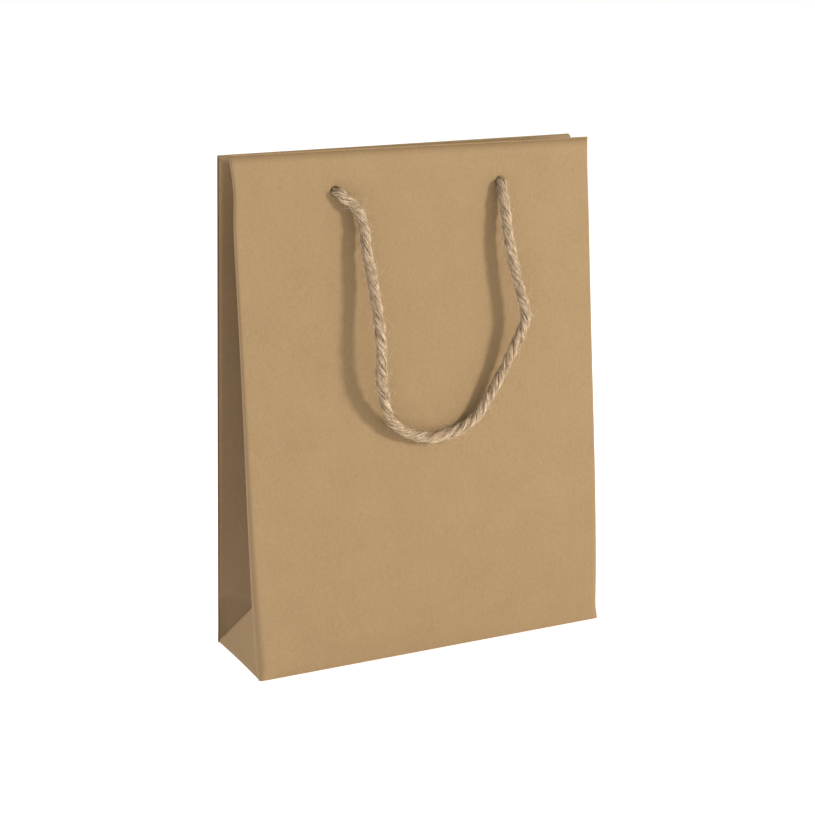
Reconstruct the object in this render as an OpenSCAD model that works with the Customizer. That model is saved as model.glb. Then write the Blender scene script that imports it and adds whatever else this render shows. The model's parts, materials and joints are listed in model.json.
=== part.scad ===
// Kraft paper gift bag with a block bottom, side gussets, a turned-in top hem and two rope handles.
// Millimetres. +Z is up, +X runs along the width and -Y is the front. The origin is the centre of the bottom.

/* [Bag] */
// Width of the front and back panels
bag_w = 220; // [200:1:260]
// Depth of the block bottom, from front to back
bag_d = 70; // [60:1:90]
// Height of the panels, measured along the paper
bag_h = 290; // [270:1:340]
// Thickness of the kraft paper
paper_t = 0.3; // [0.2:0.05:0.4]

/* [Stance] */
// Lean of the front panel towards the back at rest, in degrees
front_lean = 4.2; // [3:0.1:4.6]
// Lean of the back panel towards the front at rest, in degrees
back_lean = 5.4; // [4:0.1:5.6]
// Lean of the gusset's foot fold into the bag at rest, in degrees
foot_lean = 22; // [16:1:24]

/* [Top hem] */
// Height of the paper turned into the mouth
hem_h = 40; // [35:1:50]
// Thickness of the card strip inside the hem
card_t = 0.5; // [0.3:0.1:0.8]
// Gap between the card strip's ends and the panel's side edges
card_inset = 12; // [8:1:20]

/* [Bottom] */
// Thickness of the loose base board
board_t = 0.7; // [0.5:0.1:1]
// Gap between the base board and the walls
board_gap = 2; // [1.5:0.5:4]
// Width of the glued lap where the two bottom flaps meet
bottom_lap = 18; // [12:1:24]

/* [Handles] */
// Distance of each handle hole from the panel's middle
hole_x = 51; // [45:1:55]
// Distance of the handle holes below the top edge
hole_drop = 21; // [18:1:24]
// Radius of the punched handle holes
hole_r = 3.3; // [3.2:0.1:4]
// Radius of the jute rope
rope_r = 3; // [2.5:0.1:3]

/* [Hidden] */
$fn = 48;

// Half of the bag's width and depth
half_w = bag_w / 2;
half_d = bag_d / 2;
// Height of the handle holes above the bottom crease, along the panel
hole_up = bag_h - hole_drop;
// Thickness of panel, card and hem together at the mouth
stack_t = 2 * paper_t + card_t;
// Distance from a panel's outer face to the crease line of its gusset
edge_in = stack_t + 0.8;
// Strip trimmed off each gusset half beside the centre crease, so the halves pass each other
centre_trim = 7.5;
// Widest reach of a gusset half from its edge crease
gusset_w = half_d - centre_trim;
// Distance of a gusset half's own edge from its edge crease
edge_start = 0.6;
// How far the diagonal edges stay back from the diagonal crease
diagonal_gap = 2.5;
// Width of the glued lap inside the back panel
seam_lap_w = 16;
// Height at which a gusset half's solid starts, where it is wide enough to have a real edge
gusset_start = 8;
// Lengths along the edge crease at which a gusset's turned-in hem is shaped, and then its whole half
HEM_STEPS = [for (k = [0:3]) bag_h - hem_h * (1 - k / 3)];
HALF_STEPS = concat([for (k = [0:8]) gusset_start + (bag_h - hem_h - gusset_start) * pow(k / 9, 1.3)], HEM_STEPS);

kraft = "#b8976b";
kraft_shade = "#a5855c";
kraft_inside = "#c2a276";
grey_card = "#9c8a72";
jute = "#cdb38a";

// Rope handle routes. Each point is [along the width, out from the panel's face, up along the panel].
FRONT_ROUTE = [
    [-49.5, 3.6, 267], [-47, 4, 264.5], [-43.5, 4.5, 261.5], [-40.5, 5, 258], [-39, 6, 254],
    [-37.5, 7, 246.5], [-37.5, 8.5, 234.5], [-36, 10, 223], [-35, 11.5, 211.5], [-34, 14, 196],
    [-34, 15, 180], [-34, 13.5, 164], [-32, 11.5, 153.5], [-29.5, 9, 145.5], [-25.5, 7, 138.5],
    [-20, 6, 133], [-13.5, 5, 129.5], [-6.5, 4.5, 127], [0.5, 4.5, 126], [8, 4.5, 126.5],
    [16.5, 4.5, 128.5], [24, 5, 132], [30.5, 6, 138], [36, 6.5, 145.5], [41, 7.5, 154], [46, 8.5, 162.5],
    [50, 9.5, 170], [53.5, 11, 177.5], [58, 12.5, 188], [57.5, 12, 199], [53.5, 10, 218],
    [51, 8.5, 236.5], [50.5, 6, 255], [50.5, 3.8, 265]
];
BACK_ROUTE = [
    [-51, 3.6, 266.5], [-50.5, 4, 263], [-50, 4.8, 258], [-50, 5.8, 252], [-51, 7, 241], [-53, 9, 227],
    [-55.5, 11.5, 212], [-57, 13, 196], [-56, 13, 180], [-52.5, 11, 166], [-47, 8.5, 153],
    [-39, 6.5, 142], [-28, 5.2, 133], [-15, 4.6, 128.5], [-1, 4.5, 127], [12, 4.6, 129], [24, 5.4, 134],
    [34, 6.8, 142], [41, 8.6, 153], [45, 10.5, 166], [47, 12.5, 181], [47.5, 13.5, 197], [47, 12.5, 213],
    [46, 10.5, 228], [46, 8.4, 242], [47, 6.2, 254], [48.5, 4.6, 261], [50, 3.6, 266.5]
];

// Place things drawn in the front panel's own plane: X across, -Y out of the face, Z up along the panel
module on_front() translate([0, -half_d, 0]) rotate([-front_lean, 0, 0]) children();
// The same for the back panel, seen from behind: the front's layout turned half round about Z
module on_back() rotate([0, 0, 180]) translate([0, -half_d, 0]) rotate([-back_lean, 0, 0]) children();

// A sheet in a panel's plane: from x0 to x1, from depth y0 inside the face, from z0 to z1 up the panel
module sheet(x0, x1, y0, t, z0, z1) translate([x0, y0, z0]) cube([x1 - x0, t, z1 - z0]);

// The two handle holes, punched through everything they are subtracted from
module handle_holes() {
    for (side = [-1, 1])
        translate([side * hole_x, -2, hole_up]) rotate([-90, 0, 0]) cylinder(r = hole_r, h = 6);
}

// ---- Bottom ----
module bottom_rear_flap() {
    color(kraft_shade)
        translate([-half_w + 0.5, -bottom_lap / 2, 0]) cube([bag_w - 1, half_d + bottom_lap / 2 - 0.3, paper_t]);
}

// The front flap steps up over the rear flap's edge, where the two are glued
module bottom_front_flap() {
    flap_w = bag_w - 1;
    color(kraft_shade) translate([-half_w + 0.5, 0, 0]) {
        translate([0, -half_d + 0.3, 0]) cube([flap_w, half_d - bottom_lap / 2 - 0.6, paper_t]);
        translate([0, -bottom_lap / 2 - 0.6, 0]) cube([flap_w, 0.3, 2 * paper_t]);
        translate([0, -bottom_lap / 2 - 0.6, paper_t]) cube([flap_w, bottom_lap + 0.6, paper_t]);
    }
}

// A side flap runs under the base board, cut to a trapezium with 45 degree ends
module bottom_side_flap() {
    reach = half_d - 3;
    inset = 1.2;
    color(kraft_shade) translate([0, 0, 2 * paper_t]) linear_extrude(paper_t)
        polygon([[-half_w + 0.5, -half_d + inset], [-half_w + reach, -half_d + inset + reach - 6],
                 [-half_w + reach, half_d - inset - reach + 6], [-half_w + 0.5, half_d - inset]]);
}
module bottom_side_flap_left() bottom_side_flap();
module bottom_side_flap_right() mirror([1, 0, 0]) bottom_side_flap();

module base_board() {
    color(grey_card) translate([-half_w + board_gap, -half_d + board_gap, 3 * paper_t])
        cube([bag_w - 2 * board_gap, bag_d - 2 * board_gap, board_t]);
}

// The foot fold is the triangle of gusset between the base edge and the two diagonal creases
module foot_fold() {
    margin = 1.5;
    color(kraft) translate([-half_w + 0.2, 0, 3 * paper_t + 0.2]) rotate([0, foot_lean, 0])
        rotate([90, 0, 90]) linear_extrude(paper_t)
            polygon([[-half_d + margin, 0], [half_d - margin, 0], [0, half_d - margin]]);
}
module left_foot_fold() foot_fold();
module right_foot_fold() mirror([1, 0, 0]) foot_fold();

// ---- Front and back panels ----
module panel() {
    difference() {
        sheet(-half_w, half_w, 0, paper_t, 2 * paper_t, bag_h - paper_t);
        handle_holes();
    }
}

// The hem is the turned-in strip, closed over the top of panel and card
module hem() {
    difference() {
        union() {
            sheet(-half_w + 1, half_w - 1, stack_t - paper_t, paper_t, bag_h - hem_h, bag_h - paper_t);
            sheet(-half_w + 1, half_w - 1, 0, stack_t, bag_h - paper_t, bag_h);
        }
        handle_holes();
    }
}

module hem_card() {
    difference() {
        sheet(-half_w + card_inset, half_w - card_inset, paper_t, card_t, bag_h - hem_h + 2, bag_h - paper_t);
        handle_holes();
    }
}

// A knot inside the mouth: the rope's stub through the hole, two crossing turns, a core and a frayed tail
module knot(side) {
    turn_r = 3.4;
    strand_r = rope_r - 0.2;
    knot_y = stack_t + 0.2;
    color(jute) translate([side * hole_x, 0, hole_up]) {
        rotate([-90, 0, 0]) translate([0, 0, -0.2]) cylinder(r = rope_r - 0.1, h = knot_y + strand_r);
        rotate([-90, 0, 0]) translate([0, 0, knot_y + strand_r])
            rotate_extrude() translate([turn_r, 0]) circle(r = strand_r);
        rotate([-90, 0, 0]) translate([0, 0, knot_y + strand_r + 3.2])
            rotate_extrude() translate([turn_r - 0.6, 0]) circle(r = strand_r);
        rotate([-90, 0, 0]) translate([0, 0, knot_y + 1]) cylinder(r = turn_r, h = strand_r * 2 + 1.6);
        translate([side * 1.5, knot_y + strand_r + 1.6, -22]) cylinder(r = strand_r, h = 20);
    }
}

module front_panel() color(kraft) on_front() panel();
module front_hem() color(kraft_inside) on_front() hem();
module front_hem_card() color(grey_card) on_front() hem_card();
module front_left_knot() on_front() knot(-1);
module front_right_knot() on_front() knot(1);
module back_panel() color(kraft) on_back() panel();
module back_hem() color(kraft_inside) on_back() hem();
module back_hem_card() color(grey_card) on_back() hem_card();
module back_left_knot() on_back() knot(1);
module back_right_knot() on_back() knot(-1);

// The sheet's end, glued inside the back panel beside the left gusset
module side_seam_lap() {
    color(kraft_inside) on_back()
        sheet(half_w - seam_lap_w - 1.5, half_w - 1.5, paper_t, paper_t, 4, bag_h - hem_h - 1);
}

// ---- Gussets ----
// Fold angle of a gusset half at a length s up its edge: 0 lies flat, 90 lies against its panel.
// The two halves just span the gap between the leaning panels, and the foot region stays flat.
function fold_at(s, own, other) =
    let (level = max(s, half_d) * cos(own), gap = half_d - level * (tan(own) + tan(other)) / 2)
    acos(gap / half_d);

// A point of the front left gusset half: s up the edge crease, u across the half, v into the bag
function gusset_point(s, u, v, own, other) =
    let (fold = fold_at(s, own, other))
    [-half_w + 0.2 + u * sin(fold) + v * cos(fold),
     -half_d + edge_in + s * sin(own) + u * cos(fold) - v * sin(fold),
     s * cos(own)];

// Two triangles for each quad between ring i and ring i + 1 of a four-point section. The inner and outer
// faces (j = 2 and j = 0) are split along the same diagonal, so the thin twisted shell keeps its thickness.
function band_faces(n) = [for (i = [0:n - 2], j = [0:3])
    let (a = 4 * i + j, b = 4 * i + (j + 1) % 4)
    each j == 2 ? [[a, b, a + 4], [b, b + 4, a + 4]] : [[a, b, b + 4], [a, b + 4, a + 4]]];

// A gusset half between thicknesses v0 and v1, from the edge to the trimmed centre or diagonal crease
module gusset_shell(steps, u0, v0, v1, own, other) {
    rings = [for (s = steps) let (u1 = min(s - diagonal_gap, gusset_w)) each
        [gusset_point(s, u0, v0, own, other), gusset_point(s, u1, v0, own, other),
         gusset_point(s, u1, v1, own, other), gusset_point(s, u0, v1, own, other)]];
    n = len(steps);
    last = 4 * (n - 1);
    polyhedron(rings, concat(band_faces(n), [[2, 1, 0], [3, 2, 0],
        [last, last + 1, last + 2], [last, last + 2, last + 3]]));
}

module gusset_half(own, other) {
    color(kraft_shade) gusset_shell(HALF_STEPS, edge_start, 0, paper_t, own, other);
}

module gusset_hem(own, other) {
    color(kraft_inside) gusset_shell(HEM_STEPS, edge_start, paper_t, 2 * paper_t, own, other);
}

module left_gusset_front() gusset_half(front_lean, back_lean);
module left_gusset_front_hem() gusset_hem(front_lean, back_lean);
module left_gusset_rear() mirror([0, 1, 0]) gusset_half(back_lean, front_lean);
module left_gusset_rear_hem() mirror([0, 1, 0]) gusset_hem(back_lean, front_lean);
module right_gusset_front() mirror([1, 0, 0]) left_gusset_front();
module right_gusset_front_hem() mirror([1, 0, 0]) left_gusset_front_hem();
module right_gusset_rear() mirror([1, 0, 0]) left_gusset_rear();
module right_gusset_rear_hem() mirror([1, 0, 0]) left_gusset_rear_hem();

// ---- Rope handles ----
function unit(v) = v / norm(v);
// Direction of the route at point i, from its neighbours
function heading(p, i) = unit(p[min(i + 1, len(p) - 1)] - p[max(i - 1, 0)]);
// A side direction carried along from the last ring, so the tube never twists
function carried(side, dir) = unit(side - dir * (side * dir));
// The route's side direction at every point
function sides(p) = [for (i = 0, s = carried([0, 0, 1], heading(p, 0)); i < len(p);
    i = i + 1, s = i < len(p) ? carried(s, heading(p, i)) : s) s];

// A tube of the given radius along a route, as one closed solid
module rope_tube(route, r, n = 10) {
    side = sides(route);
    count = len(route);
    points = [for (i = [0:count - 1]) let (s = side[i], t = cross(heading(route, i), s))
        each [for (j = [0:n - 1]) route[i] + r * (cos(360 * j / n) * s + sin(360 * j / n) * t)]];
    walls = [for (i = [0:count - 2], j = [0:n - 1]) let (a = i * n + j, b = i * n + (j + 1) % n)
        each [[a, b + n, b], [a, a + n, b + n]]];
    start = [[for (j = [0:n - 1]) j]];
    end = [[for (j = [n - 1:-1:0]) (count - 1) * n + j]];
    polyhedron(points, concat(walls, start, end));
}

// A route in panel coordinates, turned so that out of the face is -Y
function drawn(route) = [for (p = route) [p[0], -p[1], p[2]]];

module front_handle() color(jute) on_front() rope_tube(drawn(FRONT_ROUTE), rope_r);
module back_handle() color(jute) on_back() rope_tube(drawn(BACK_ROUTE), rope_r);

bottom_front_flap();
bottom_rear_flap();
bottom_side_flap_left();
bottom_side_flap_right();
base_board();
left_foot_fold();
right_foot_fold();
front_panel();
front_hem();
front_hem_card();
front_left_knot();
front_right_knot();
back_panel();
back_hem();
back_hem_card();
back_left_knot();
back_right_knot();
side_seam_lap();
left_gusset_front();
left_gusset_front_hem();
left_gusset_rear();
left_gusset_rear_hem();
right_gusset_front();
right_gusset_front_hem();
right_gusset_rear();
right_gusset_rear_hem();
front_handle();
back_handle();
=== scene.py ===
import json
import math

import bpy
import numpy as np
from mathutils import Matrix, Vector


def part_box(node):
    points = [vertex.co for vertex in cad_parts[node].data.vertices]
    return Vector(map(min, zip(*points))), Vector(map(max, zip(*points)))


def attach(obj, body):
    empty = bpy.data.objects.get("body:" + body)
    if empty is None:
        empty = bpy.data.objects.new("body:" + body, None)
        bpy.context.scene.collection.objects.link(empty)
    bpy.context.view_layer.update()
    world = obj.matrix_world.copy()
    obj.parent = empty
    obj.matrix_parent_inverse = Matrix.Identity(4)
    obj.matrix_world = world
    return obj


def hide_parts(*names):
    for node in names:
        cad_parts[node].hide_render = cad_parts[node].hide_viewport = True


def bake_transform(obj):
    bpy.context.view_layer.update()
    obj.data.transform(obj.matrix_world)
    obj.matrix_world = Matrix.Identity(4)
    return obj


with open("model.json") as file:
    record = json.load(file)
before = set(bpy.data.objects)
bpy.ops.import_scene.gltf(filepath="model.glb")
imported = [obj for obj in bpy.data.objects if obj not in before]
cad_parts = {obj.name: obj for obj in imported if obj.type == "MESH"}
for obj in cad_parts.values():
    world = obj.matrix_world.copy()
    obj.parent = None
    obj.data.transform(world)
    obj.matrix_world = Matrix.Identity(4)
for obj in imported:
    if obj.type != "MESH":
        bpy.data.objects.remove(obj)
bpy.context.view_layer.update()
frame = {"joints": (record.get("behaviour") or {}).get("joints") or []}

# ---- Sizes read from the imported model, in metres ----
MM = 0.001
FRONT, BACK = -1, 1
LEFT, RIGHT = -1, 1
SIDE_NAME = {FRONT: "front", BACK: "back"}
HALF_NAME = {FRONT: "front", BACK: "rear"}
HAND_NAME = {LEFT: "left", RIGHT: "right"}
joint_at = {j["name"]: j["pos_m"] for j in frame["joints"]}
joint_axis = {j["name"]: j["axis"] for j in frame["joints"]}
half_d = -joint_at["mouth_front"][1]
half_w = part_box("front_panel")[1].x
hem_box = {s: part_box(SIDE_NAME[s] + "_hem") for s in (FRONT, BACK)}
fold_axis = {s: joint_axis["left_gusset_" + HALF_NAME[s] + "_fold"] for s in (FRONT, BACK)}
lean = {s: math.atan2(abs(fold_axis[s][1]), abs(fold_axis[s][2])) for s in (FRONT, BACK)}
paper_h = hem_box[FRONT][1].z / math.cos(lean[FRONT])
hem_up = hem_box[FRONT][0].z / math.cos(lean[FRONT])
# Thickness of the paper, of the card in the hem, and of the hem's whole stack; radius of the rope
PAPER = 0.3 * MM
CARD = 0.5 * MM
STACK = 2 * PAPER + CARD
ROPE_R = 3.0 * MM

# Routes of the two rope handles: across the panel, out from its face, up along it, in millimetres.
FRONT_ROUTE = [
    [-49.5, 3.6, 267], [-47, 4, 264.5], [-43.5, 4.5, 261.5], [-40.5, 5, 258], [-39, 6, 254],
    [-37.5, 7, 246.5], [-37.5, 8.5, 234.5], [-36, 10, 223], [-35, 11.5, 211.5], [-34, 14, 196],
    [-34, 15, 180], [-34, 13.5, 164], [-32, 11.5, 153.5], [-29.5, 9, 145.5], [-25.5, 7, 138.5],
    [-20, 6, 133], [-13.5, 5, 129.5], [-6.5, 4.5, 127], [0.5, 4.5, 126], [8, 4.5, 126.5],
    [16.5, 4.5, 128.5], [24, 5, 132], [30.5, 6, 138], [36, 6.5, 145.5], [41, 7.5, 154], [46, 8.5, 162.5],
    [50, 9.5, 170], [53.5, 11, 177.5], [58, 12.5, 188], [57.5, 12, 199], [53.5, 10, 218],
    [51, 8.5, 236.5], [50.5, 6, 255], [50.5, 3.8, 265]
]
BACK_ROUTE = [
    [-51, 3.6, 266.5], [-50.5, 4, 263], [-50, 4.8, 258], [-50, 5.8, 252], [-51, 7, 241], [-53, 9, 227],
    [-55.5, 11.5, 212], [-57, 13, 196], [-56, 13, 180], [-52.5, 11, 166], [-47, 8.5, 153],
    [-39, 6.5, 142], [-28, 5.2, 133], [-15, 4.6, 128.5], [-1, 4.5, 127], [12, 4.6, 129], [24, 5.4, 134],
    [34, 6.8, 142], [41, 8.6, 153], [45, 10.5, 166], [47, 12.5, 181], [47.5, 13.5, 197], [47, 12.5, 213],
    [46, 10.5, 228], [46, 8.4, 242], [47, 6.2, 254], [48.5, 4.6, 261], [50, 3.6, 266.5]
]
knot_low, knot_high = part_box("front_right_knot")
hole_x = (knot_low.x + knot_high.x) / 2
# The holes sit a little below the handles' axis, and are a little narrower than the rope
HOLE_DROP = 1.4 * MM
hole_up = joint_at["front_handle_swing"][2] / math.cos(lean[FRONT]) - HOLE_DROP
HOLE_R = 2.8 * MM
# The rope inside a hole: out from the face, and up from the hole's middle, in millimetres
THROUGH = [[-2.4, 0.9], [0.4, -0.2]]


# ---- Camera ----
CAMERA_PLACE = [-0.4387, -0.9097, 0.3887]
CAMERA_YAW, CAMERA_PITCH, CAMERA_ROLL = 25.702, 13.997, -0.481
SENSOR_WIDTH = 36
FOCAL_LENGTH = 79.18
FARTHEST_SEEN = 20


def add_camera():
    """The studio camera. Yaw turns it from straight ahead to the right, pitch tips it down, and roll leans
    it about its own line of sight, all in degrees."""
    yaw, pitch, roll = np.radians([CAMERA_YAW, CAMERA_PITCH, CAMERA_ROLL])
    level = math.cos(pitch)
    ahead = np.array([math.sin(yaw) * level, math.cos(yaw) * level, -math.sin(pitch)])
    across = np.cross(ahead, [0, 0, 1])
    across /= np.linalg.norm(across)
    rise = np.cross(across, ahead)
    right = across * math.cos(roll) + rise * math.sin(roll)
    top = rise * math.cos(roll) - across * math.sin(roll)
    data = bpy.data.cameras.new("studio_camera")
    data.sensor_width = SENSOR_WIDTH
    data.lens = FOCAL_LENGTH
    data.clip_end = FARTHEST_SEEN
    camera = bpy.data.objects.new("studio_camera", data)
    pose = np.eye(4)
    pose[:3, :3] = np.stack([right, top, -ahead], 1)
    pose[:3, 3] = CAMERA_PLACE
    camera.matrix_world = Matrix(pose.tolist())
    bpy.context.scene.collection.objects.link(camera)
    bpy.context.scene.camera = camera


add_camera()


# ---- Making meshes ----
def smooth(t):
    """Smoothstep: 0 before 0, 1 after 1, with no corner at either."""
    t = np.clip(t, 0, 1)
    return t * t * (3 - 2 * t)


def grid_faces(rows, cols, wrap=False):
    """Corner numbers of each quad of a grid stored row by row; wrap joins its last column to its first."""
    i, j = np.meshgrid(np.arange(rows - 1), np.arange(cols if wrap else cols - 1), indexing="ij")
    nxt = (j + 1) % cols
    quads = np.stack([i * cols + j, i * cols + nxt, (i + 1) * cols + nxt, (i + 1) * cols + j], -1)
    return quads.reshape(-1, 4)


def add_mesh(name, points, faces, material, values=None):
    """A smooth-shaded mesh object at the origin, with its point attributes."""
    mesh = bpy.data.meshes.new(name)
    mesh.from_pydata(np.asarray(points, float).reshape(-1, 3).tolist(), [], faces)
    mesh.polygons.foreach_set("use_smooth", np.ones(len(mesh.polygons), bool))
    for key, value in (values or {}).items():
        value = np.asarray(value, np.float32)
        kind, field = ("FLOAT", "value") if value.ndim == 1 else ("FLOAT_VECTOR", "vector")
        mesh.attributes.new(key, kind, "POINT").data.foreach_set(field, value.ravel())
    mesh.materials.append(material)
    mesh.validate()
    mesh.update()
    piece = bpy.data.objects.new(name, mesh)
    bpy.context.scene.collection.objects.link(piece)
    return piece


def add_sheet(name, grid, thickness, outward, material, fold=0.0, keep=None, shade=0.0):
    """Paper or board: a grid of outer-face points, given its thickness inwards by Solidify.
    outward is the rough direction that its outer face looks in. keep says which quads stay. fold says how
    much fold colour each point takes, rubbing and on the outside paper painted shade as well, and shade how
    much painted shade its paper takes, both from 0 to 1."""
    rows, cols = grid.shape[:2]
    grid = settle(grid)
    faces = grid_faces(rows, cols)
    if keep is not None:
        faces = faces[keep.ravel()]
    normal = np.cross(np.gradient(grid, axis=1), np.gradient(grid, axis=0))
    if (normal * np.asarray(outward)).sum() < 0:
        faces = faces[:, ::-1]
    used = np.unique(faces)
    marks = {"fold": fold, "shade": shade}
    marks = {key: np.broadcast_to(value, (rows, cols)).ravel()[used] for key, value in marks.items()}
    renumber = np.zeros(rows * cols, int)
    renumber[used] = np.arange(len(used))
    piece = add_mesh(name, grid.reshape(-1, 3)[used], renumber[faces].tolist(), material, marks)
    shell = piece.modifiers.new("thickness", "SOLIDIFY")
    shell.thickness = thickness
    shell.offset = -1
    return piece


# ---- Materials ----
def colour(code):
    """Linear RGBA of an sRGB hex code."""
    part = np.array([int(code[i:i + 2], 16) for i in (1, 3, 5)]) / 255
    return (*np.where(part < 0.04045, part / 12.92, ((part + 0.055) / 1.055) ** 2.4), 1.0)


class Finish:
    """A node material built call by call, from the object's own coordinates or its point marks."""

    def __init__(self, name, roughness, specular=0.3):
        """Starts from the plain shader with one roughness and one sheen all over."""
        self.material = bpy.data.materials.new(name)
        self.material.use_nodes = True
        self.tree = self.material.node_tree
        self.shader = self.tree.nodes["Principled BSDF"]
        self.shader.inputs["Roughness"].default_value = roughness
        self.shader.inputs["Specular IOR Level"].default_value = specular

    def add(self, kind, result=0, inputs=None, **settings):
        """Makes a node with these inputs and settings, and returns the wanted output."""
        node = self.tree.nodes.new("ShaderNode" + kind)
        for key, value in settings.items():
            setattr(node, key, value)
        for key, value in (inputs or {}).items():
            self.put(node.inputs[key], value)
        return node.outputs[result]

    def put(self, socket, value):
        """Links a socket to another node's output, or sets it to a plain value."""
        if isinstance(value, bpy.types.NodeSocket):
            self.tree.links.new(value, socket)
        else:
            socket.default_value = value

    def place(self, scale=(1, 1, 1), source=None):
        """Coordinates stretched along each axis: a smaller scale draws the pattern out."""
        source = source or self.add("TexCoord", "Object")
        return self.add("Mapping", inputs={"Vector": source, "Scale": scale})

    def noise(self, scale, detail=2.0, stretch=(1, 1, 1), source=None, rough=0.5):
        """Cloudy noise with this many waves to the metre."""
        where = self.place(stretch, source)
        inputs = {"Vector": where, "Scale": scale, "Detail": detail, "Roughness": rough}
        return self.add("TexNoise", inputs=inputs)

    def attribute(self, name, result="Fac"):
        """A mark stored on the piece's points."""
        return self.add("Attribute", result, attribute_name=name)

    def math(self, op, a, b=0.0, c=0.0):
        """One sum, product or other step on numbers."""
        return self.add("Math", inputs={0: a, 1: b, 2: c}, operation=op)

    def span(self, value, low, high, to_low=0.0, to_high=1.0):
        """Straight line from to_low at low to to_high at high, held level past both."""
        return self.add("MapRange", inputs={0: value, 1: low, 2: high, 3: to_low, 4: to_high})

    def mix(self, factor, a, b, mode="MIX"):
        """Colour a turning into colour b, or into a blend of both, as the factor goes from 0 to 1."""
        return self.add("Mix", 2, {0: factor, 6: a, 7: b}, data_type="RGBA", blend_type=mode)

    def bump(self, height, strength, distance):
        """Fine relief from a height pattern."""
        return self.add("Bump", inputs={"Height": height, "Strength": strength, "Distance": distance})

    def finish(self, base, normal, roughness=None):
        """Sends the colour, relief and roughness to the shader, and returns the material."""
        self.put(self.shader.inputs["Base Color"], base)
        self.put(self.shader.inputs["Normal"], normal)
        if roughness is not None:
            self.put(self.shader.inputs["Roughness"], roughness)
        return self.material


def kraft_finish(name, body, light, dark, fold_tint):
    """Unbleached kraft: slow clouds, short matted fibres, pale and dark flecks, a fold colour over the
    folds, and painted shade where its shade mark says so. On the outside paper the fold colour is a little
    darker: rubbing, with painted shade of the rounded folds."""
    f = Finish(name, 0.78, 0.22)
    clouds = f.noise(42, 4)
    fibres = f.noise(640, 3, (1, 1, 0.7), rough=0.65)
    long_fibres = f.noise(330, 2, (0.45, 1, 0.25), rough=0.6)
    flecks = f.noise(1250, 1, (1, 1, 0.8))
    tone = f.mix(f.span(clouds, 0.3, 0.7, 0.36, 0.64), dark, light)
    tone = f.mix(0.62, tone, body)
    tone = f.mix(f.span(fibres, 0.52, 0.78, 0.0, 0.42), tone, light)
    tone = f.mix(f.span(fibres, 0.48, 0.24, 0.0, 0.40), tone, dark)
    tone = f.mix(f.span(long_fibres, 0.56, 0.74, 0.0, 0.15), tone, light)
    tone = f.mix(f.span(flecks, 0.66, 0.8, 0.0, 0.45), tone, dark)
    # The fold colour laid over the folds: rubbing, and on the outside paper painted shade of the rounded
    # folds too.
    fold_share = f.math("MULTIPLY", f.attribute("fold"), f.span(fibres, 0.3, 0.6, 0.55, 1.0))
    tone = f.mix(f.math("MULTIPLY", fold_share, 0.75), tone, fold_tint)
    tone = f.mix(f.attribute("shade"), tone, colour("#c9c2bc"), "MULTIPLY")
    height = f.math("ADD", f.math("MULTIPLY", fibres, 0.7), f.math("MULTIPLY", long_fibres, 0.4))
    height = f.math("ADD", height, f.math("MULTIPLY", clouds, 0.25))
    rough = f.span(fibres, 0.3, 0.7, 0.72, 0.86)
    return f.finish(tone, f.bump(height, 0.22, 0.15 * MM), rough)


def board_finish(name):
    """Grey recycled board: a felted mass of short fibres with scattered dark and pale bits."""
    f = Finish(name, 0.88, 0.15)
    felt = f.noise(520, 4, rough=0.7)
    bits = f.noise(900, 1)
    tone = f.mix(f.span(felt, 0.3, 0.7), colour("#8b7b66"), colour("#ab9c86"))
    tone = f.mix(f.span(bits, 0.68, 0.78, 0.0, 0.6), tone, colour("#5e5244"))
    tone = f.mix(f.span(bits, 0.30, 0.24, 0.0, 0.4), tone, colour("#c9bda8"))
    return f.finish(tone, f.bump(felt, 0.3, 0.2 * MM))


def jute_finish(name):
    """Twisted jute: pale and brown fibres drawn out along each strand, with painted shade in the grooves
    between them.
    """
    f = Finish(name, 0.82, 0.18)
    lay = f.attribute("lay", "Vector")
    fine = f.noise(1700, 3, (1, 1, 0.11), lay, 0.7)
    broad = f.noise(800, 2, (1, 1, 0.14), lay)
    patch = f.noise(160, 2)
    tone = f.mix(f.span(fine, 0.42, 0.58), colour("#6f5a42"), colour("#dcc4a6"))
    tone = f.mix(f.span(broad, 0.45, 0.60, 0.0, 0.55), tone, colour("#8f7659"))
    tone = f.mix(f.span(patch, 0.40, 0.65, 0.0, 0.3), tone, colour("#c8ab8b"))
    # Painted shade in the grooves between the strands and the fibre ridges.
    groove_shade = f.attribute("groove_shade")
    tone = f.mix(f.span(groove_shade, 0.35, 1.0, 0.0, 0.62), tone, colour("#5d4a36"))
    height = f.math("ADD", fine, f.math("MULTIPLY", broad, 0.8))
    return f.finish(tone, f.bump(height, 0.9, 0.45 * MM))


def fibre_finish(name):
    """Loose jute hairs: pale straw, a little varied from hair to hair."""
    f = Finish(name, 0.7, 0.25)
    shade = f.noise(90, 2)
    tone = f.mix(f.span(shade, 0.35, 0.65), colour("#b99f80"), colour("#ecdac0"))
    grain = f.noise(3000, 1)
    return f.finish(tone, f.bump(grain, 0.2, 0.05 * MM))


# Each kraft paper's middle, light, dark and fold colour. The outside paper's fold colour is a little darker
# than its middle: rubbing plus painted shade of the rounded folds. The gusset's and the inside's are paler,
# as rubbed paper is.
kraft_out = kraft_finish("kraft_paper_outside", colour("#997e5b"), colour("#a78e6a"), colour("#856b4a"),
                         colour("#977b5c"))
kraft_fold = kraft_finish("kraft_paper_gusset", colour("#9a805f"), colour("#a98f6e"), colour("#866d4f"),
                          colour("#9f8665"))
kraft_in = kraft_finish("kraft_paper_inside", colour("#9d8361"), colour("#ac9372"), colour("#897050"),
                        colour("#b19a7b"))
grey_board = board_finish("grey_board")
jute = jute_finish("jute_rope")
jute_hair = fibre_finish("jute_hair")


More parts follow.
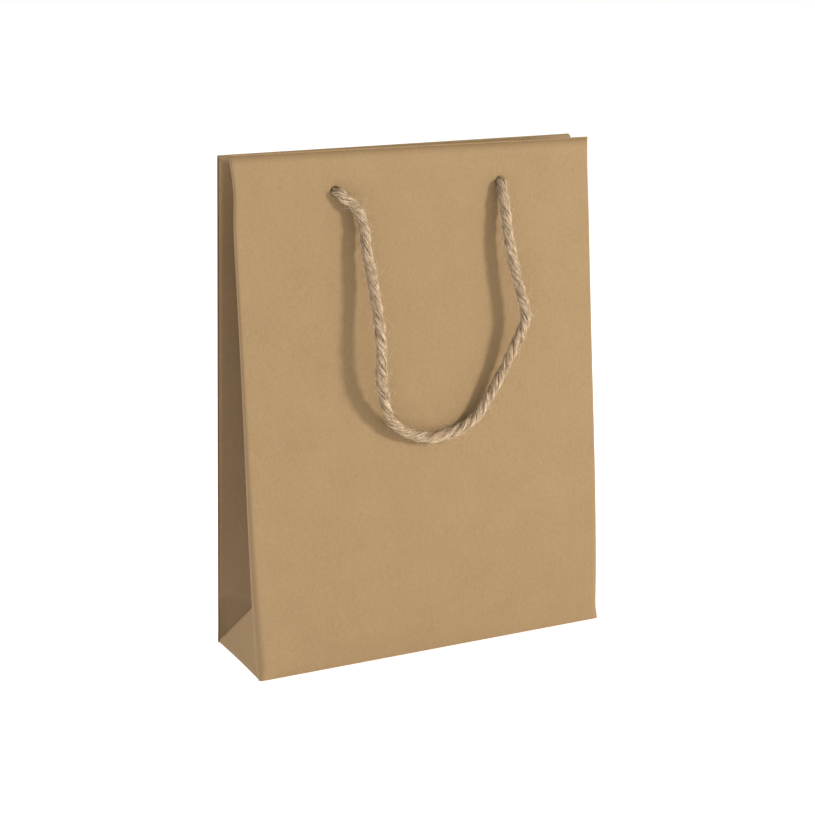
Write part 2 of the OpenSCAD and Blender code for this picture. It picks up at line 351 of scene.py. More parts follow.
# ---- The paper's shape ----
def place(side, x, inward, up):
    """A point of a panel: x across, inward below its outer face, up along the paper, turned to its lean."""
    c, s = math.cos(lean[side]), math.sin(lean[side])
    x, inward, up = np.broadcast_arrays(x, inward, up)
    return np.stack([x, side * (half_d - inward * c - up * s), up * c - inward * s], -1)


def settle(points):
    """The mouth sits a little askew: the front rises half a millimetre to the left, and the back drops there
    by a millimetre and a half. Both fade with the cube of the height."""
    x, y, z = np.moveaxis(points, -1, 0)
    front_rise = -0.5 * MM * x / half_w
    back_rise = 0.9 * MM * x / half_w - 0.55 * MM
    share = np.clip(0.5 + y / (24 * MM), 0, 1)
    rise = front_rise * (1 - share) + back_rise * share
    return np.stack([x, y, z + rise * np.clip(z / paper_h, 0, 1) ** 3], -1)


def fold_radius(side, up):
    """Radius of the soft side folds: a millimetre at the mouth, growing as an exponential towards the foot,
    where it comes in again over the last 10 mm. The back's grows much less."""
    growth = 4.2 if side == FRONT else 0.9
    return MM * (1.0 + growth * np.exp(-up / (90 * MM)) * smooth((up + 5 * MM) / (15 * MM)))


def edge_swell(side, hand, up):
    """How far a panel's side folds belly out: the front's by a bell curve round 70 mm up, with a waist 20 mm
    below the mouth and a small flare at it, far more on the left. The back's stay straight."""
    if side == BACK:
        return np.zeros_like(up)
    below = (paper_h - up) / MM
    belly = 1.0 * np.exp(-((up / MM - 70) / 80) ** 2) * smooth(up / (30 * MM))
    mouth = (0.6 - 0.4 * hand) * (0.7 * np.exp(-below / 5) - 1.2 * np.exp(-((below - 20) / 14) ** 2))
    return MM * (belly + mouth)


def relief(side, x, up):
    """How far a panel swells from flat: one shallow dome, a cosine across by a sine along, that dies out at
    the edges, with slow waves on it."""
    across = np.clip(np.cos(x / half_w * math.pi / 2), 0, 1) ** 0.8
    along = np.sin(math.pi * np.clip(up / paper_h, 0, 1)) ** 0.9
    waves = np.sin(x * 47 + up * 19 + side) + 0.7 * np.sin(up * 61 - x * 23 + 2 * side)
    return across * along * MM * (0.75 + 0.16 * waves)


def panel_at(side, a, v, up, tuck=0.0):
    """A panel's paper with its side folds: a runs across the paper and v is the depth below its outer face.
    Past the flat part the paper turns a quarter circle of fold_radius and runs on into the bag."""
    r = fold_radius(side, up)
    flat = half_w - r
    turn = np.clip((np.abs(a) - flat) / r, 0, math.pi / 2)
    past = np.clip(np.abs(a) - flat - r * math.pi / 2, 0, None)
    outer = np.minimum(np.abs(a), flat) + (r - v) * np.sin(turn)
    x = np.sign(a) * (outer + edge_swell(side, np.sign(a), up) * (outer / half_w) ** 8)
    inward = r - (r - v) * np.cos(turn) + past + tuck - relief(side, x, up)
    return place(side, x, inward, up)


def fold_rub_and_shade(side, a, up):
    """How much of the fold colour the outside paper takes, rubbing together with painted shade of the
    rounded folds: 1 on the side folds and at the foot, fading within a millimetre or two.
    """
    r = fold_radius(side, up)
    side_fold = np.exp(-((np.abs(a) - (half_w - 0.2 * r)) / (0.6 * r + 0.3 * MM)) ** 2)
    foot_fold = np.exp(-(up / (1.2 * MM)) ** 2)
    return np.clip(np.maximum(side_fold, foot_fold), 0, 1)


def lines(*parts):
    """One rising list of grid lines from several, in metres."""
    return np.unique(np.round(np.concatenate([np.atleast_1d(p) for p in parts]), 7))


# Grid lines round a hole: the square cut out of them, and how far out they are drawn towards its circle
CUT_SQUARE = 3 * MM
CUT_REACH = 9 * MM
PAST_HOLE = np.array([0.75, 1.5, 2.25, 3, 4, 5.2, 6.8, 9]) * MM
NEAR_HOLE = np.concatenate([-PAST_HOLE[::-1], [0], PAST_HOLE])


def open_lines(low, high, count, holes):
    """Grid lines from low to high, evenly spread except near each hole, where they stand close together."""
    base = np.linspace(low, high, count)
    for hole in holes:
        base = base[np.abs(base - hole) > CUT_REACH + 2 * MM]
    return lines(base, *[hole + NEAR_HOLE for hole in holes])


def punch(a, up):
    """Opens the two handle holes: the square of lines round each is drawn into a circle, and the quads in it
    go. The pull fades to nothing at the reach of the close lines."""
    keep = np.ones((a.shape[0] - 1, a.shape[1] - 1), bool)
    middle_a = (a[1:, 1:] + a[:-1, :-1]) / 2
    middle_up = (up[1:, 1:] + up[:-1, :-1]) / 2
    for x in (-hole_x, hole_x):
        da, du = a - x, up - hole_up
        ring = np.maximum(np.abs(da), np.abs(du))
        far = np.hypot(da, du) + 1e-9
        share = smooth((ring - CUT_SQUARE) / (CUT_REACH - CUT_SQUARE))
        wanted = HOLE_R + np.clip(ring - CUT_SQUARE, 0, None)
        near = ring < CUT_REACH
        a = np.where(near, x + da * (share + (1 - share) * wanted / far), a)
        up = np.where(near, hole_up + du * (share + (1 - share) * wanted / far), up)
        keep &= np.maximum(np.abs(middle_a - x), np.abs(middle_up - hole_up)) > CUT_SQUARE
    return a, up, keep


def across_lines(side, up, reach=0.6 * MM):
    """Grid lines across a panel for each height: fixed over the flat part, then spread round each side fold
    and reach past it."""
    flat_end = half_w - 6 * MM
    flat = open_lines(-flat_end, flat_end, 47, (-hole_x, hole_x))
    end = half_w - fold_radius(side, up) * (1 - math.pi / 2) + reach
    step = np.linspace(0, 1, 15)[1:]
    right = flat_end + step[None, :] * (end[:, None] - flat_end)
    return np.hstack([-right[:, ::-1], np.broadcast_to(flat, (len(up), len(flat))), right])


def make_panel(side):
    """Front or back paper: from the rolled bottom crease, a quarter circle, up to the top edge, with both
    side folds and holes."""
    body = SIDE_NAME[side] + "_panel"
    roll_r = 0.9 * MM
    roll = np.linspace(math.pi / 2, 0, 7)
    top = paper_h - STACK / 2
    near_foot = np.array([2, 4, 7, 11, 16, 22]) * MM
    rise = lines(open_lines(roll_r, top, 60, (hole_up,)), near_foot)
    up = np.concatenate([roll_r * (1 - np.sin(roll)), rise[1:]])
    tuck = np.concatenate([roll_r * (1 - np.cos(roll)), np.zeros(len(rise) - 1)])
    a = across_lines(side, up)
    up_grid = np.broadcast_to(up[:, None], a.shape)
    a, up_grid, keep = punch(a, up_grid)
    grid = panel_at(side, a, 0.0, up_grid, tuck[:, None])
    # The panel's folds get the outside paper's darker fold colour: rubbing and painted shade.
    fold_tint = fold_rub_and_shade(side, a, up_grid)
    piece = add_sheet(body + "_paper", grid, PAPER, (0, side, 0), kraft_out, fold_tint, keep)
    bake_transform(piece)
    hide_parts(body)


def make_panel_hem(side):
    """The paper turned over the top edge and down inside: a half circle over the stack, then a flat
    strip."""
    body = SIDE_NAME[side] + "_panel"
    turn = np.linspace(0, math.pi, 13)
    r = STACK / 2
    strip = open_lines(hem_up, paper_h - r, 16, (hole_up,))[::-1]
    up = np.concatenate([paper_h - r + r * np.sin(turn), strip[1:]])
    v = np.concatenate([r * (1 - np.cos(turn)), np.full(len(strip) - 1, 2 * r)])
    a = across_lines(side, up, -0.9 * MM)
    inner = np.broadcast_to((v >= 2 * r)[:, None], a.shape)
    up_grid = np.broadcast_to(up[:, None], a.shape)
    a, up_grid, keep = punch(a, up_grid)
    wave = 0.12 * MM * np.sin(a * 70 + side) * smooth((paper_h - 8 * MM - up_grid) / (30 * MM)) * inner
    grid = panel_at(side, a, v[:, None] + wave, up_grid)
    piece = add_sheet(SIDE_NAME[side] + "_hem_paper", grid, PAPER, (0, 0, 1), kraft_out, keep=keep)
    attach(piece, body)
    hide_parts(SIDE_NAME[side] + "_hem")


def make_hem_card(side):
    """The card strip inside the hem, following the panel's swell."""
    node = SIDE_NAME[side] + "_hem_card"
    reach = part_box(node)[1].x
    up = open_lines(hem_up + 2 * MM, paper_h - STACK / 2 - 0.3 * MM, 16, (hole_up,))
    a = open_lines(-reach, reach, 40, (-hole_x, hole_x))
    a, up_grid = np.meshgrid(a, up)
    a, up_grid, keep = punch(a, up_grid)
    grid = panel_at(side, a, PAPER, up_grid)
    piece = add_sheet(node + "_strip", grid, CARD * 0.96, (0, side, 0), grey_board, keep=keep)
    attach(piece, SIDE_NAME[side] + "_panel")
    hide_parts(node)


def make_seam_lap():
    """The glued end of the sheet, a strip against the back panel's inner face beside the left gusset."""
    low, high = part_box("side_seam_lap")
    up = np.linspace(low.z, hem_up - MM, 40)
    a = np.linspace(low.x + 0.4 * MM, high.x, 10)
    a, up = np.meshgrid(a, up)
    ragged = 0.25 * MM * np.sin(up * 210) * smooth((a - low.x) / (high.x - low.x))
    grid = panel_at(BACK, a + ragged, PAPER + 0.04 * MM, up)
    piece = add_sheet("side_seam_lap_strip", grid, PAPER, (0, 1, 0), kraft_in,
                      0.5 * np.exp(-((a - high.x) / (0.8 * MM)) ** 2))
    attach(piece, "back_panel")
    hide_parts("side_seam_lap")


# ---- Gussets ----
def running_sum(values, u):
    """Integral of values along each row of u, by the trapezium rule, starting at nothing."""
    area = (values[:, 1:] + values[:, :-1]) / 2 * np.diff(u, axis=1)
    return np.hstack([np.zeros((len(u), 1)), np.cumsum(area, axis=1)])


# How far each gusset half runs past the centre crease, one behind the other
LAP = 1.5 * MM
# The crease across a gusset lies level with its foot, but this much lower at the panels' edges
CREASE_DROP = 5 * MM


def gusset_tilt(fold, up, u, width):
    """Direction of the paper along a gusset half: it turns into its fold within 5 mm of the panel's edge,
    and rounds off into the centre crease in its last millimetre."""
    crease = smooth((u - width + 1.3 * MM) / (1.3 * MM)) * smooth((up - half_d) / (25 * MM))
    return fold * smooth(u / (5 * MM)) * (1 - crease)


def edge_in(side, up):
    """Depth below a panel's outer face at which its gusset starts, inside the side fold."""
    return fold_radius(side, up) - 0.8 * MM


def gusset_at(hand, side, up, v=0.0, count=41):
    """Rows of a gusset half at the given heights, from the panel's edge to the centre crease.
    Each row starts inside the side fold and adds up small steps in the direction gusset_tilt gives. The two
    halves meet where two links of their widths would, each covering half the gap between the panels plus
    half the difference of the squared widths over that gap. Below the centre crease's foot, rows keep that
    foot's fold and stop at the 45 degree diagonal crease."""
    c, s = math.cos(lean[side]), math.sin(lean[side])
    up = np.asarray(up, float)
    v = np.broadcast_to(v, up.shape)[:, None]
    start_in = edge_in(side, up)
    level = np.maximum(up, half_d)
    width = (half_d - edge_in(side, level))[:, None]
    other = (half_d - edge_in(-side, level))[:, None]
    both = sum(half_d - edge_in(k, level) * math.cos(lean[k]) - level * math.sin(lean[k])
               for k in (FRONT, BACK))[:, None]
    gap = (both + (width ** 2 - other ** 2) / both) / 2
    t = np.linspace(0, 1, count)[None, :]
    rest = t * width
    least, most = np.zeros_like(gap), np.full_like(gap, 1.7)
    for _ in range(30):
        fold = (least + most) / 2
        full = running_sum(np.cos(gusset_tilt(fold, level[:, None], rest, width)), rest)[:, -1:]
        least, most = np.where(full > gap, fold, least), np.where(full > gap, most, fold)
    lap = LAP * smooth((up - half_d) / (5 * MM))[:, None]
    u = t * (np.where(up < half_d, up / half_d, 1.0)[:, None] * width + lap)
    tilt = gusset_tilt(fold, up[:, None], u, width)
    along_x = running_sum(np.sin(tilt), u)
    along_y = running_sum(np.cos(tilt), u)
    bow = np.sin(math.pi * np.clip(u / width, 0, 1)) * smooth((up[:, None] - half_d * 0.6) / (60 * MM))
    bow = bow * MM * (1.1 + 0.5 * np.sin(up[:, None] * 27 + hand + 2 * side))
    scored_at = half_d - CREASE_DROP * (1 - smooth(u / (14 * MM)))
    score = np.exp(-((up[:, None] - scored_at) / (1.6 * MM)) ** 2) * smooth(u / (6 * MM))
    below = smooth((scored_at - up[:, None]) / (10 * MM)) * smooth(u / (7 * MM))
    depth = v + bow - 0.5 * MM * score + 1.3 * MM * below
    if side == BACK:
        depth = depth + 1.2 * PAPER * smooth((u - width + 3 * MM) / (2 * MM)) * smooth(lap / LAP)
    edge = half_w + edge_swell(side, hand, up) - PAPER - 0.05 * MM
    x = hand * (edge[:, None] - along_x - depth * np.cos(tilt))
    y = side * (half_d - start_in[:, None] * c - up[:, None] * s - along_y + depth * np.sin(tilt))
    own_z = (up * c - start_in * s)[:, None]
    shared_z = (up * (math.cos(lean[FRONT]) + math.cos(lean[BACK])) / 2)[:, None]
    z = own_z + (shared_z - own_z) * np.clip(u / width, 0, 1)
    x, y, z = np.broadcast_arrays(x, y, z)
    fold_tint = np.maximum(np.exp(-((width - u) / MM) ** 2), 0.8 * score)
    return np.stack([x, y, z], -1), np.broadcast_to(fold_tint, x.shape)


def gusset_rows(top):
    """Heights of a gusset half's rows: close together at the foot and round the scored crease."""
    foot = np.array([0.5, 1.5, 3, 5, 7.5, 10, 13, 16, 19, 22, 24.5]) * MM
    score = np.arange(26, 39, 0.75) * MM
    return lines(foot, score, np.linspace(41 * MM, top, 56))


# How dark a gusset's paper is drawn at some heights, in millimetres: it lies in the fold's own shadow, and
# the studio light alone leaves it too pale
SHADE_UP = [0, 29, 37, 85, 173, 240, 268, 282]
SHADE = [1.0, 1.0, 0.9, 0.9, 0.74, 0.46, 0.18, 0.0]


def shade_at(up):
    """Straight lines between the heights of SHADE_UP: none at the mouth, half 60 mm below it, and all at
    the foot."""
    return np.interp(up / MM, SHADE_UP, SHADE)


def make_gusset_half(hand, side):
    """One half of a side gusset, with its turned-in hem."""
    body = HAND_NAME[hand] + "_gusset_" + HALF_NAME[side]
    top = paper_h - 0.35 * MM
    rows = gusset_rows(top)
    grid, fold_tint = gusset_at(hand, side, rows)
    piece = add_sheet(body + "_paper", grid, PAPER, (hand, 0, 0), kraft_fold, fold_tint,
                      shade=shade_at(rows)[:, None])
    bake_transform(piece)
    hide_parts(body)
    r = PAPER + 0.05 * MM
    turn = np.linspace(0, math.pi, 9)
    strip = np.linspace(top, hem_up, 20)
    up = np.concatenate([top + r * np.sin(turn), strip[1:]])
    v = np.concatenate([r * (1 - np.cos(turn)), np.full(len(strip) - 1, 2 * r)])
    grid, fold_tint = gusset_at(hand, side, up, v)
    hem = add_sheet(body + "_hem_paper", grid, PAPER * 0.9, (0, 0, 1), kraft_fold, fold_tint * 0.6,
                    shade=shade_at(up)[:, None])
    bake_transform(hem)
    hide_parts(body + "_hem")


def make_foot(hand):
    """The foot fold: straight lines from the front half's diagonal crease to the rear half's, closing on the
    foot of the centre crease, with a slight hollow."""
    body = HAND_NAME[hand] + "_foot"
    up = np.concatenate([[0.0], np.linspace(1, half_d / MM, 30) * MM])
    front = gusset_at(hand, FRONT, np.maximum(up, 0.02 * MM))[0][:, -1]
    rear = gusset_at(hand, BACK, np.maximum(up, 0.02 * MM))[0][:, -1]
    t = np.linspace(0, 1, 33)[None, :, None]
    grid = front[:, None] * (1 - t) + rear[:, None] * t
    span = np.linalg.norm(rear - front, axis=1)[:, None] / (2 * half_d)
    grid[..., 0] -= hand * 0.5 * MM * span * np.sin(math.pi * t[..., 0])
    grid[..., 2] = np.maximum(grid[..., 2], 0.05 * MM)
    edge = np.minimum(t[..., 0], 1 - t[..., 0]) * span * 2 * half_d
    # Its edges get the outside paper's darker fold colour: rubbing and painted shade.
    piece = add_sheet(HAND_NAME[hand] + "_foot_paper", grid, PAPER, (hand, 0, 0), kraft_out,
                      np.exp(-(edge / (0.9 * MM)) ** 2))
    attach(piece, body)
    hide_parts(body + "_fold")


# ---- Bottom ----
def flat_sheet(low, high, rows, cols, radius=0.0):
    """A level grid over a rectangle whose corners are rounded: each row is drawn in to the rounded
    outline."""
    y = np.linspace(low[1], high[1], rows)[:, None]
    t = np.linspace(-1, 1, cols)[None, :]
    middle, reach = (low[0] + high[0]) / 2, (high[0] - low[0]) / 2
    past = radius - np.minimum(y - low[1], high[1] - y)
    cut = radius - np.sqrt(np.clip(radius ** 2 - np.clip(past, 0, None) ** 2, 0, None))
    return np.broadcast_arrays(middle + t * (reach - cut), y)


def make_bottom():
    """The glued block bottom: rear flap, front flap stepping over it, two side flaps, and the loose board.
    Each is a flat sheet lifted by the bottom's hollow and by the sheets under it."""
    edge = half_d - 0.85 * MM
    reach = half_w - 0.9 * MM
    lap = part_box("bottom_rear_flap")[0].y
    arch = 0.5 * MM

    def hollow(x, y):
        """The bottom's slight hollow, so that the bag stands on its edges."""
        return arch * np.clip(1 - (x / reach) ** 2, 0, 1) * np.clip(1 - (y / edge) ** 2, 0, 1)

    x, y = flat_sheet((-reach, lap), (reach, edge), 30, 60)
    z = hollow(x, y)
    # Its edge under the front flap gets the outside paper's darker fold colour: rubbing and painted shade.
    rear = add_sheet("bottom_rear_flap_paper", np.stack([x, y, z], -1), PAPER, (0, 0, -1), kraft_out,
                     0.5 * np.exp(-((y - lap) / (0.8 * MM)) ** 2))
    x, y = flat_sheet((-reach, -edge), (reach, -lap), 60, 60)
    step = (PAPER + 0.03 * MM) * smooth((y - lap + 1.2 * MM) / MM)
    z = hollow(x, y) + step
    front = add_sheet("bottom_front_flap_paper", np.stack([x, y, z], -1), PAPER, (0, 0, -1), kraft_out)
    for hand in (LEFT, RIGHT):
        node = "bottom_side_flap_" + HAND_NAME[hand]
        low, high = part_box(node)
        inner = high.x if hand == LEFT else low.x
        t = np.linspace(0, 1, 24)[:, None]
        w = np.linspace(-1, 1, 40)[None, :]
        x = hand * reach + t * (inner - hand * reach)
        y = w * (high.y - t * (high.y - 6.5 * MM))
        x, y = np.broadcast_arrays(x, y)
        z = hollow(x, y) + 2 * PAPER + 0.06 * MM
        side = add_sheet(node + "_paper", np.stack([x, y, z], -1), PAPER, (0, 0, -1), kraft_in)
        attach(side, "base")
        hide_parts(node)
    low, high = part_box("base_board")
    x, y = flat_sheet(low, high, 60, 90, 3 * MM)
    z = hollow(x, y) + 3 * PAPER + 0.12 * MM
    board = add_sheet("base_board_sheet", np.stack([x, y, z], -1), high.z - low.z, (0, 0, -1), grey_board)
    for piece, node, slot in ((rear, "bottom_rear_flap", "kraft_paper"),
                              (front, "bottom_front_flap", "kraft_paper"),
                              (board, "base_board", "grey_board")):
        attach(piece, "base")
        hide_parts(node)


# ---- Rope ----
def smooth_path(points, step):
    """Points every step along the Catmull-Rom curve through the given ones."""
    p = np.vstack([2 * points[0] - points[1], points, 2 * points[-1] - points[-2]])
    t = np.linspace(0, len(points) - 1, 60 * (len(points) - 1) + 1)
    i = np.minimum(t.astype(int), len(points) - 2)
    f = (t - i)[:, None]
    a, b, c, d = p[i], p[i + 1], p[i + 2], p[i + 3]
    square, cube = 2 * a - 5 * b + 4 * c - d, 3 * b - a - 3 * c + d
    fine = 0.5 * (2 * b + (c - a) * f + square * f ** 2 + cube * f ** 3)
    gone = np.concatenate([[0], np.cumsum(np.linalg.norm(np.diff(fine, axis=0), axis=1))])
    at = np.linspace(0, gone[-1], max(int(gone[-1] / step), 2) + 1)
    return np.stack([np.interp(at, gone, fine[:, k]) for k in range(3)], -1), at


def path_frames(line):
    """Heading and two side directions at each point of a path. The sides come from one fixed direction, and
    the twist that this puts in, added up along the path, is taken out again."""
    heading = np.gradient(line, axis=0)
    heading /= np.linalg.norm(heading, axis=1, keepdims=True)
    side = np.cross(heading, [-0.6, 0.55, 0.58])
    side /= np.linalg.norm(side, axis=1, keepdims=True)
    other = np.cross(heading, side)
    ahead = side[1:] - heading[:-1] * (side[1:] * heading[:-1]).sum(1, keepdims=True)
    turn = np.arctan2((ahead * other[:-1]).sum(1), (ahead * side[:-1]).sum(1))
    back = -np.concatenate([[0], np.cumsum(turn)])[:, None]
    return heading, side * np.cos(back) + other * np.sin(back), other * np.cos(back) - side * np.sin(back)


STRANDS = 3
LAY_LENGTH = 30 * MM
# A strand's middle and its own radius, as shares of the rope's radius
STRAND_MIDDLE, STRAND_R = 0.37, 0.63
# Fibre ridges: how many go round the rope, how fast they wander in millimetres, and how high they stand
RIDGES = ((9, 9.0, 0.050), (14, 6.0, 0.042), (22, 4.2, 0.030), (6, 14.0, 0.040))
# Lengths in millimetres over which one strand, and the whole rope, swell and thin
STRAND_WAVES = (2.1, 3.7, 6.3, 11.0)
ROPE_WAVES = (4.3, 7.9, 13.1, 21.0)
UNEVEN = 0.020


def rope_surface(line, at, radius, around, seed):
    """Surface of a three-strand rope: three round strands side by side that turn once in each lay length.
    Fine ridges of fibre run along each strand, wandering and fading, and the whole rope is a little uneven.
    Returns points, the groove depth that sets the painted shade in the grooves, and the lay coordinates that
    run along the strands."""
    rng = np.random.default_rng(seed)
    _, side, other = path_frames(line)
    angle = np.linspace(0, 2 * math.pi, around, endpoint=False)[None, :]
    s = at[:, None]
    part = 2 * math.pi / STRANDS
    near = (angle + part / 2) % part - part / 2
    which = np.floor((angle + part / 2) / part).astype(int) % STRANDS
    lobe = STRAND_MIDDLE * np.cos(near) + np.sqrt(STRAND_R ** 2 - (STRAND_MIDDLE * np.sin(near)) ** 2)
    phase = rng.uniform(0, 2 * math.pi, (9, STRANDS))
    ridges = np.zeros(np.broadcast_shapes(angle.shape, s.shape))
    for k, (turns, wander, size) in enumerate(RIDGES):
        drift = 1.3 * np.sin(s / (wander * MM) + phase[k, 0]) + s / ((17 + 5 * k) * MM)
        fade = 0.6 + 0.4 * np.sin(s / (1.7 * wander * MM) + phase[k, 1] + 2 * angle)
        ridges += size * np.sin(turns * angle + drift + phase[k, 2]) * fade
    uneven = sum(UNEVEN * np.sin(s / (w * MM) + phase[5 + k][which]) for k, w in enumerate(STRAND_WAVES))
    whole = sum(UNEVEN * np.sin(s / (w * MM) + phase[k][0]) for k, w in enumerate(ROPE_WAVES))
    share = lobe + ridges + uneven * smooth((lobe - 0.74) / 0.2) + whole
    turned = angle - 2 * math.pi * s / LAY_LENGTH
    size = np.asarray(radius)[:, None] if np.ndim(radius) else radius
    ring = side[:, None] * np.cos(turned)[..., None] + other[:, None] * np.sin(turned)[..., None]
    points = line[:, None] + ring * (size * share)[..., None]
    # How deep each point lies in a groove, which the jute finish turns into painted shade.
    groove_shade = smooth((0.88 - lobe) / 0.18) * 0.6 + smooth(-ridges / 0.09) * 0.75
    lay = np.stack(np.broadcast_arrays(ROPE_R * np.cos(angle), ROPE_R * np.sin(angle), s + 0.3 * seed), -1)
    return points, np.clip(groove_shade, 0, 1), lay


def add_rope(name, line, at, radius, around, seed):
    """A rope piece, its two ends closed."""
    points, groove_shade, lay = rope_surface(line, at, radius, around, seed)
    rows = len(line)
    faces = grid_faces(rows, around, wrap=True).tolist()
    faces += [list(range(around))[::-1], list(range((rows - 1) * around, rows * around))]
    return add_mesh(name, points, faces, jute, {"groove_shade": groove_shade.ravel(), "lay": lay.reshape(-1, 3)})


def add_hairs(name, root, along, away, length, thick, seed):
    """Loose hairs: each is a thin three-sided spine on a parabola that starts along one direction and bends
    towards another, tapering to its tip."""
    rng = np.random.default_rng(seed)
    count, joints = len(root), 6
    t = np.linspace(0, 1, joints)[None, :, None]
    curl = rng.normal(0, 0.35, (count, 1, 3))
    bend = (away[:, None] + curl) * 0.5 * t ** 2
    spine = root[:, None] + length[:, None, None] * (along[:, None] * t + bend)
    across = np.cross(along, rng.normal(0, 1, (count, 3)))
    across /= np.linalg.norm(across, axis=1, keepdims=True) + 1e-12
    up = np.cross(along, across)
    ring = np.array([0, 2, 4]) * math.pi / 3
    shape = across[:, None, None] * np.cos(ring)[:, None] + up[:, None, None] * np.sin(ring)[:, None]
    size = (thick * (1 - 0.75 * t))[..., None]
    points = spine[:, :, None] + shape * size
    quads = grid_faces(joints, 3, wrap=True)[:, ::-1]
    first = (np.arange(count) * joints * 3)[:, None, None]
    faces = (quads[None] + first).reshape(-1, 4).tolist()
    caps = np.array([[0, 1, 2], [3 * joints - 1, 3 * joints - 2, 3 * joints - 3]])
    faces += (caps[None] + first).reshape(-1, 3).tolist()
    return add_mesh(name, points, faces, jute_hair)


def rope_hairs(name, line, radius, count, seed):
    """Hairs standing off a rope: rooted anywhere on it, lying nearly along it, and lifting a little."""
    rng = np.random.default_rng(seed)
    heading, side, other = path_frames(line)
    i = rng.integers(8, len(line) - 8, count)
    angle = rng.uniform(0, 2 * math.pi, count)[:, None]
    outward = side[i] * np.cos(angle) + other[i] * np.sin(angle)
    round_it = other[i] * np.cos(angle) - side[i] * np.sin(angle)
    root = line[i] + outward * radius * 0.82
    sign = rng.choice([-1, 1], count)[:, None]
    along = sign * (heading[i] + 0.42 * round_it) + outward * rng.uniform(0.12, 0.55, (count, 1))
    along /= np.linalg.norm(along, axis=1, keepdims=True)
    away = outward * rng.uniform(-0.5, 0.5, (count, 1))
    length = rng.gamma(2.2, 1.7, count).clip(1.2, 13) * MM
    return add_hairs(name, root, along, away, length, 0.06 * MM, seed + 1)


HANDLE_HAIRS, KNOT_HAIRS, TAIL_HAIRS = 3000, 90, 150
# Route of a knot and its tail from the hole: across, inwards and up, in millimetres
KNOT_TURNS = np.array([
    [0, 1.6, 0], [0.6, 3.4, 0.2], [3.0, 4.6, 2.4], [0.4, 5.4, 4.3], [-3.5, 5.0, 2.3], [-3.7, 4.2, -2.0],
    [0.2, 4.4, -3.9], [3.7, 6.0, -1.7], [2.7, 7.4, 2.3], [-1.2, 7.7, 2.7], [-2.7, 6.8, -1.0],
    [-0.9, 5.6, -5.2], [0.7, 4.8, -10], [1.5, 4.4, -15], [1.9, 4.2, -18.5]
])


def keep_inside(piece, side):
    """Moves any point of a piece that would reach through the hem straight inwards to just clear it, except
    in the hole itself."""
    c, s = math.cos(lean[side]), math.sin(lean[side])
    co = np.zeros(len(piece.data.vertices) * 3)
    piece.data.vertices.foreach_get("co", co)
    x, y, z = co.reshape(-1, 3).T
    inward = (half_d - side * y) * c - z * s
    up = (half_d - side * y) * s + z * c
    in_hole = np.hypot(np.abs(x) - hole_x, up - hole_up) < HOLE_R
    push = np.where(in_hole, 0, np.clip(STACK + 0.5 * MM - inward, 0, None))
    moved = np.stack([x, y - side * push * c, z - push * s], -1)
    piece.data.vertices.foreach_set("co", moved.ravel())
    piece.data.update()


def make_knot(side, hand):
    """An overhand knot inside the mouth, from the hole through two crossing turns to a frayed tail."""
    node = SIDE_NAME[side] + "_" + HAND_NAME[hand] + "_knot"
    turns = KNOT_TURNS * MM
    inward = STACK * 0.9 + turns[:, 1] - 1.2 * MM
    route = place(side, hand * (hole_x + turns[:, 0]), inward, hole_up + turns[:, 2])
    line, at = smooth_path(route, 0.55 * MM)
    share = at / at[-1]
    radius = ROPE_R * (0.86 - 0.06 * smooth(share / 0.2) + 0.10 * smooth((share - 0.8) / 0.2))
    seed = 11 + 2 * side + hand
    knot = add_rope(node + "_rope", line, at, radius, 54, seed)
    rng = np.random.default_rng(seed)
    heading, first, second = path_frames(line)
    spread = np.sqrt(rng.uniform(0, 1, TAIL_HAIRS))[:, None]
    angle = rng.uniform(0, 2 * math.pi, TAIL_HAIRS)[:, None]
    outward = first[-1] * np.cos(angle) + second[-1] * np.sin(angle)
    root = line[-1] + outward * spread * radius[-1] * 0.95 - heading[-1] * 1.5 * MM
    along = heading[-1] + outward * spread * 0.5
    along /= np.linalg.norm(along, axis=1, keepdims=True)
    length = rng.uniform(3.5, 8.5, TAIL_HAIRS) * MM
    tuft = add_hairs(node + "_fray", root, along, outward * 0.3, length, 0.09 * MM, seed)
    fuzz = rope_hairs(node + "_hairs", line, radius[0], KNOT_HAIRS, seed + 40)
    for piece in (knot, tuft, fuzz):
        keep_inside(piece, side)
        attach(piece, SIDE_NAME[side] + "_panel")
    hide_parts(node)
    return [knot, tuft, fuzz]


# Two depths below a handle's holes; make_handle works out a point on its panel at each
BEND_FROM, BEND_TO = 1 * MM, 18 * MM


def make_handle(side, route):
    """A rope handle: out of its left hole, down in a loop and back in at the right hole, hanging on its
    panel. It thins as it enters each hole."""
    name = SIDE_NAME[side] + "_handle"
    points = np.array(route, float)
    ends = np.array(THROUGH)
    holes = np.stack([np.full(2, hole_x / MM), ends[:, 0], hole_up / MM + ends[:, 1]], 1)
    points = np.vstack([holes * [-1, 1, 1], points, holes[::-1]]) * MM
    points[:, 0] *= -side
    laid = place(side, points[:, 0], -points[:, 1], points[:, 2])
    line, at = smooth_path(laid, 0.5 * MM)
    from_hole = np.minimum(at, at[-1] - at)
    radius = ROPE_R * (0.74 + 0.26 * smooth(from_hole / (11 * MM)))
    rope = add_rope(name + "_rope", line, at, radius, 84, 5 + side)
    hairs = rope_hairs(name + "_hairs", line, ROPE_R, HANDLE_HAIRS, 23 + side)
    high = place(side, 0.0, 0.0, hole_up - BEND_FROM)
    low = place(side, 0.0, 0.0, hole_up - BEND_TO)
    for piece in (rope, hairs):
        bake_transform(piece)
    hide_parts(name)
    knots = make_knot(side, LEFT) + make_knot(side, RIGHT)


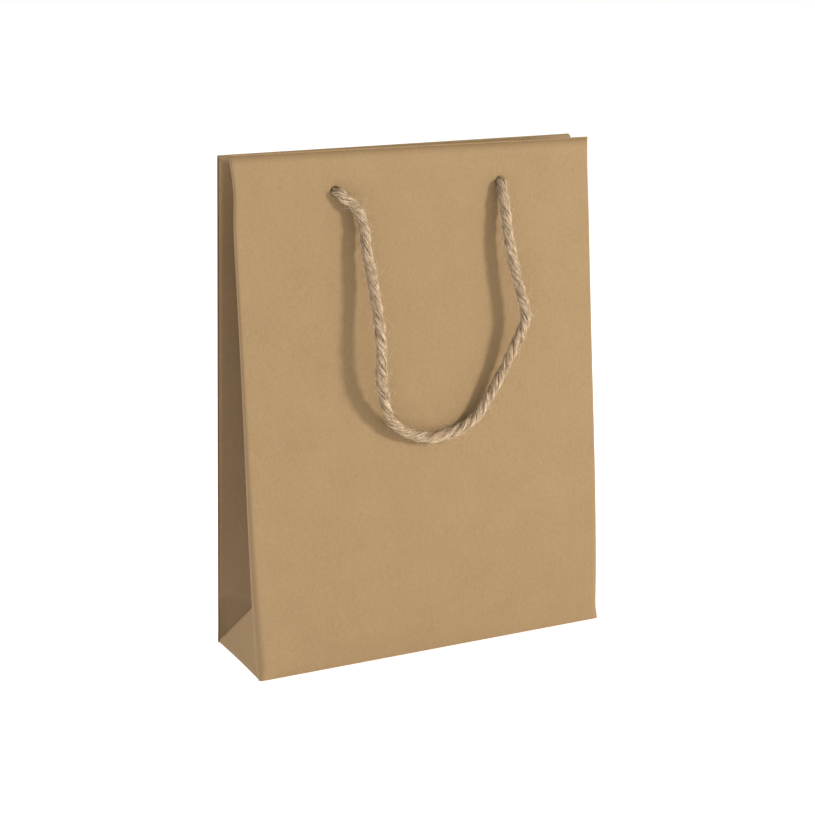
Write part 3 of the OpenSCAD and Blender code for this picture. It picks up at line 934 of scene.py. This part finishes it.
make_handle(FRONT, FRONT_ROUTE)
make_handle(BACK, BACK_ROUTE)
for panel_side in (FRONT, BACK):
    make_panel(panel_side)
    make_panel_hem(panel_side)
    make_hem_card(panel_side)
    for gusset_hand in (LEFT, RIGHT):
        make_gusset_half(gusset_hand, panel_side)
make_seam_lap()
make_foot(LEFT)
make_foot(RIGHT)
make_bottom()


# ---- Studio ----
# Glow of the floor, and of the surround as it lights the bag
FLOOR_GLOW = 0.56
SURROUND = 0.5
FLOOR_REACH = 6
BAG_MIDDLE = [0, 0, 0.15]


def add_floor():
    """A wide pale floor with a fine, even grain. It glows a little, as a lit white sweep does."""
    f = Finish("studio_floor", 0.9, 0.1)
    grain = f.noise(60, 2)
    f.shader.inputs["Emission Color"].default_value = (1, 1, 1, 1)
    f.shader.inputs["Emission Strength"].default_value = FLOOR_GLOW
    tone = f.mix(f.span(grain, 0.3, 0.7), (0.91, 0.91, 0.91, 1), (0.94, 0.94, 0.94, 1))
    material = f.finish(tone, f.bump(grain, 0.02, 0.1 * MM))
    edge = np.linspace(-FLOOR_REACH, FLOOR_REACH, 13)
    x, y = np.meshgrid(edge, edge)
    floor = add_mesh("studio_floor", np.stack([x, y, np.full_like(x, -0.2 * MM)], -1),
                     grid_faces(13, 13).tolist(), material)


def add_light(name, bearing, height, distance, size, power, tint=(1, 1, 1)):
    """A square soft box aimed at the bag's middle. Bearing is measured from the front to the right and
    height above level, both in degrees; distance and size are in metres, and power in watts."""
    data = bpy.data.lights.new(name, "AREA")
    data.shape = "SQUARE"
    data.size = size
    data.energy = power
    data.color = tint
    light = bpy.data.objects.new(name, data)
    bearing, height = math.radians(bearing), math.radians(height)
    level = math.cos(height)
    way = np.array([math.sin(bearing) * level, -math.cos(bearing) * level, math.sin(height)])
    right = np.cross([0, 0, 1], way)
    right /= np.linalg.norm(right)
    pose = np.eye(4)
    pose[:3, :3] = np.stack([right, np.cross(way, right), way], 1)
    pose[:3, 3] = way * distance + BAG_MIDDLE
    light.matrix_world = Matrix(pose.tolist())
    bpy.context.scene.collection.objects.link(light)


add_floor()
add_light("key_softbox", 44, 16, 2.4, 0.34, 45, (1.0, 0.97, 0.88))
add_light("top_fill", -125, 48, 2.2, 1.2, 20)
world = bpy.data.worlds.new("studio_surround")
world.use_nodes = True
seen = world.node_tree.nodes.new("ShaderNodeLightPath").outputs["Is Camera Ray"]
glow = world.node_tree.nodes.new("ShaderNodeMapRange")
glow.inputs["To Min"].default_value = SURROUND
world.node_tree.links.new(seen, glow.inputs["Value"])
background = world.node_tree.nodes["Background"].inputs
background["Color"].default_value = (1, 1, 1, 1)
world.node_tree.links.new(glow.outputs[0], background["Strength"])
bpy.context.scene.world = world
bpy.context.scene.view_settings.view_transform = "Standard"
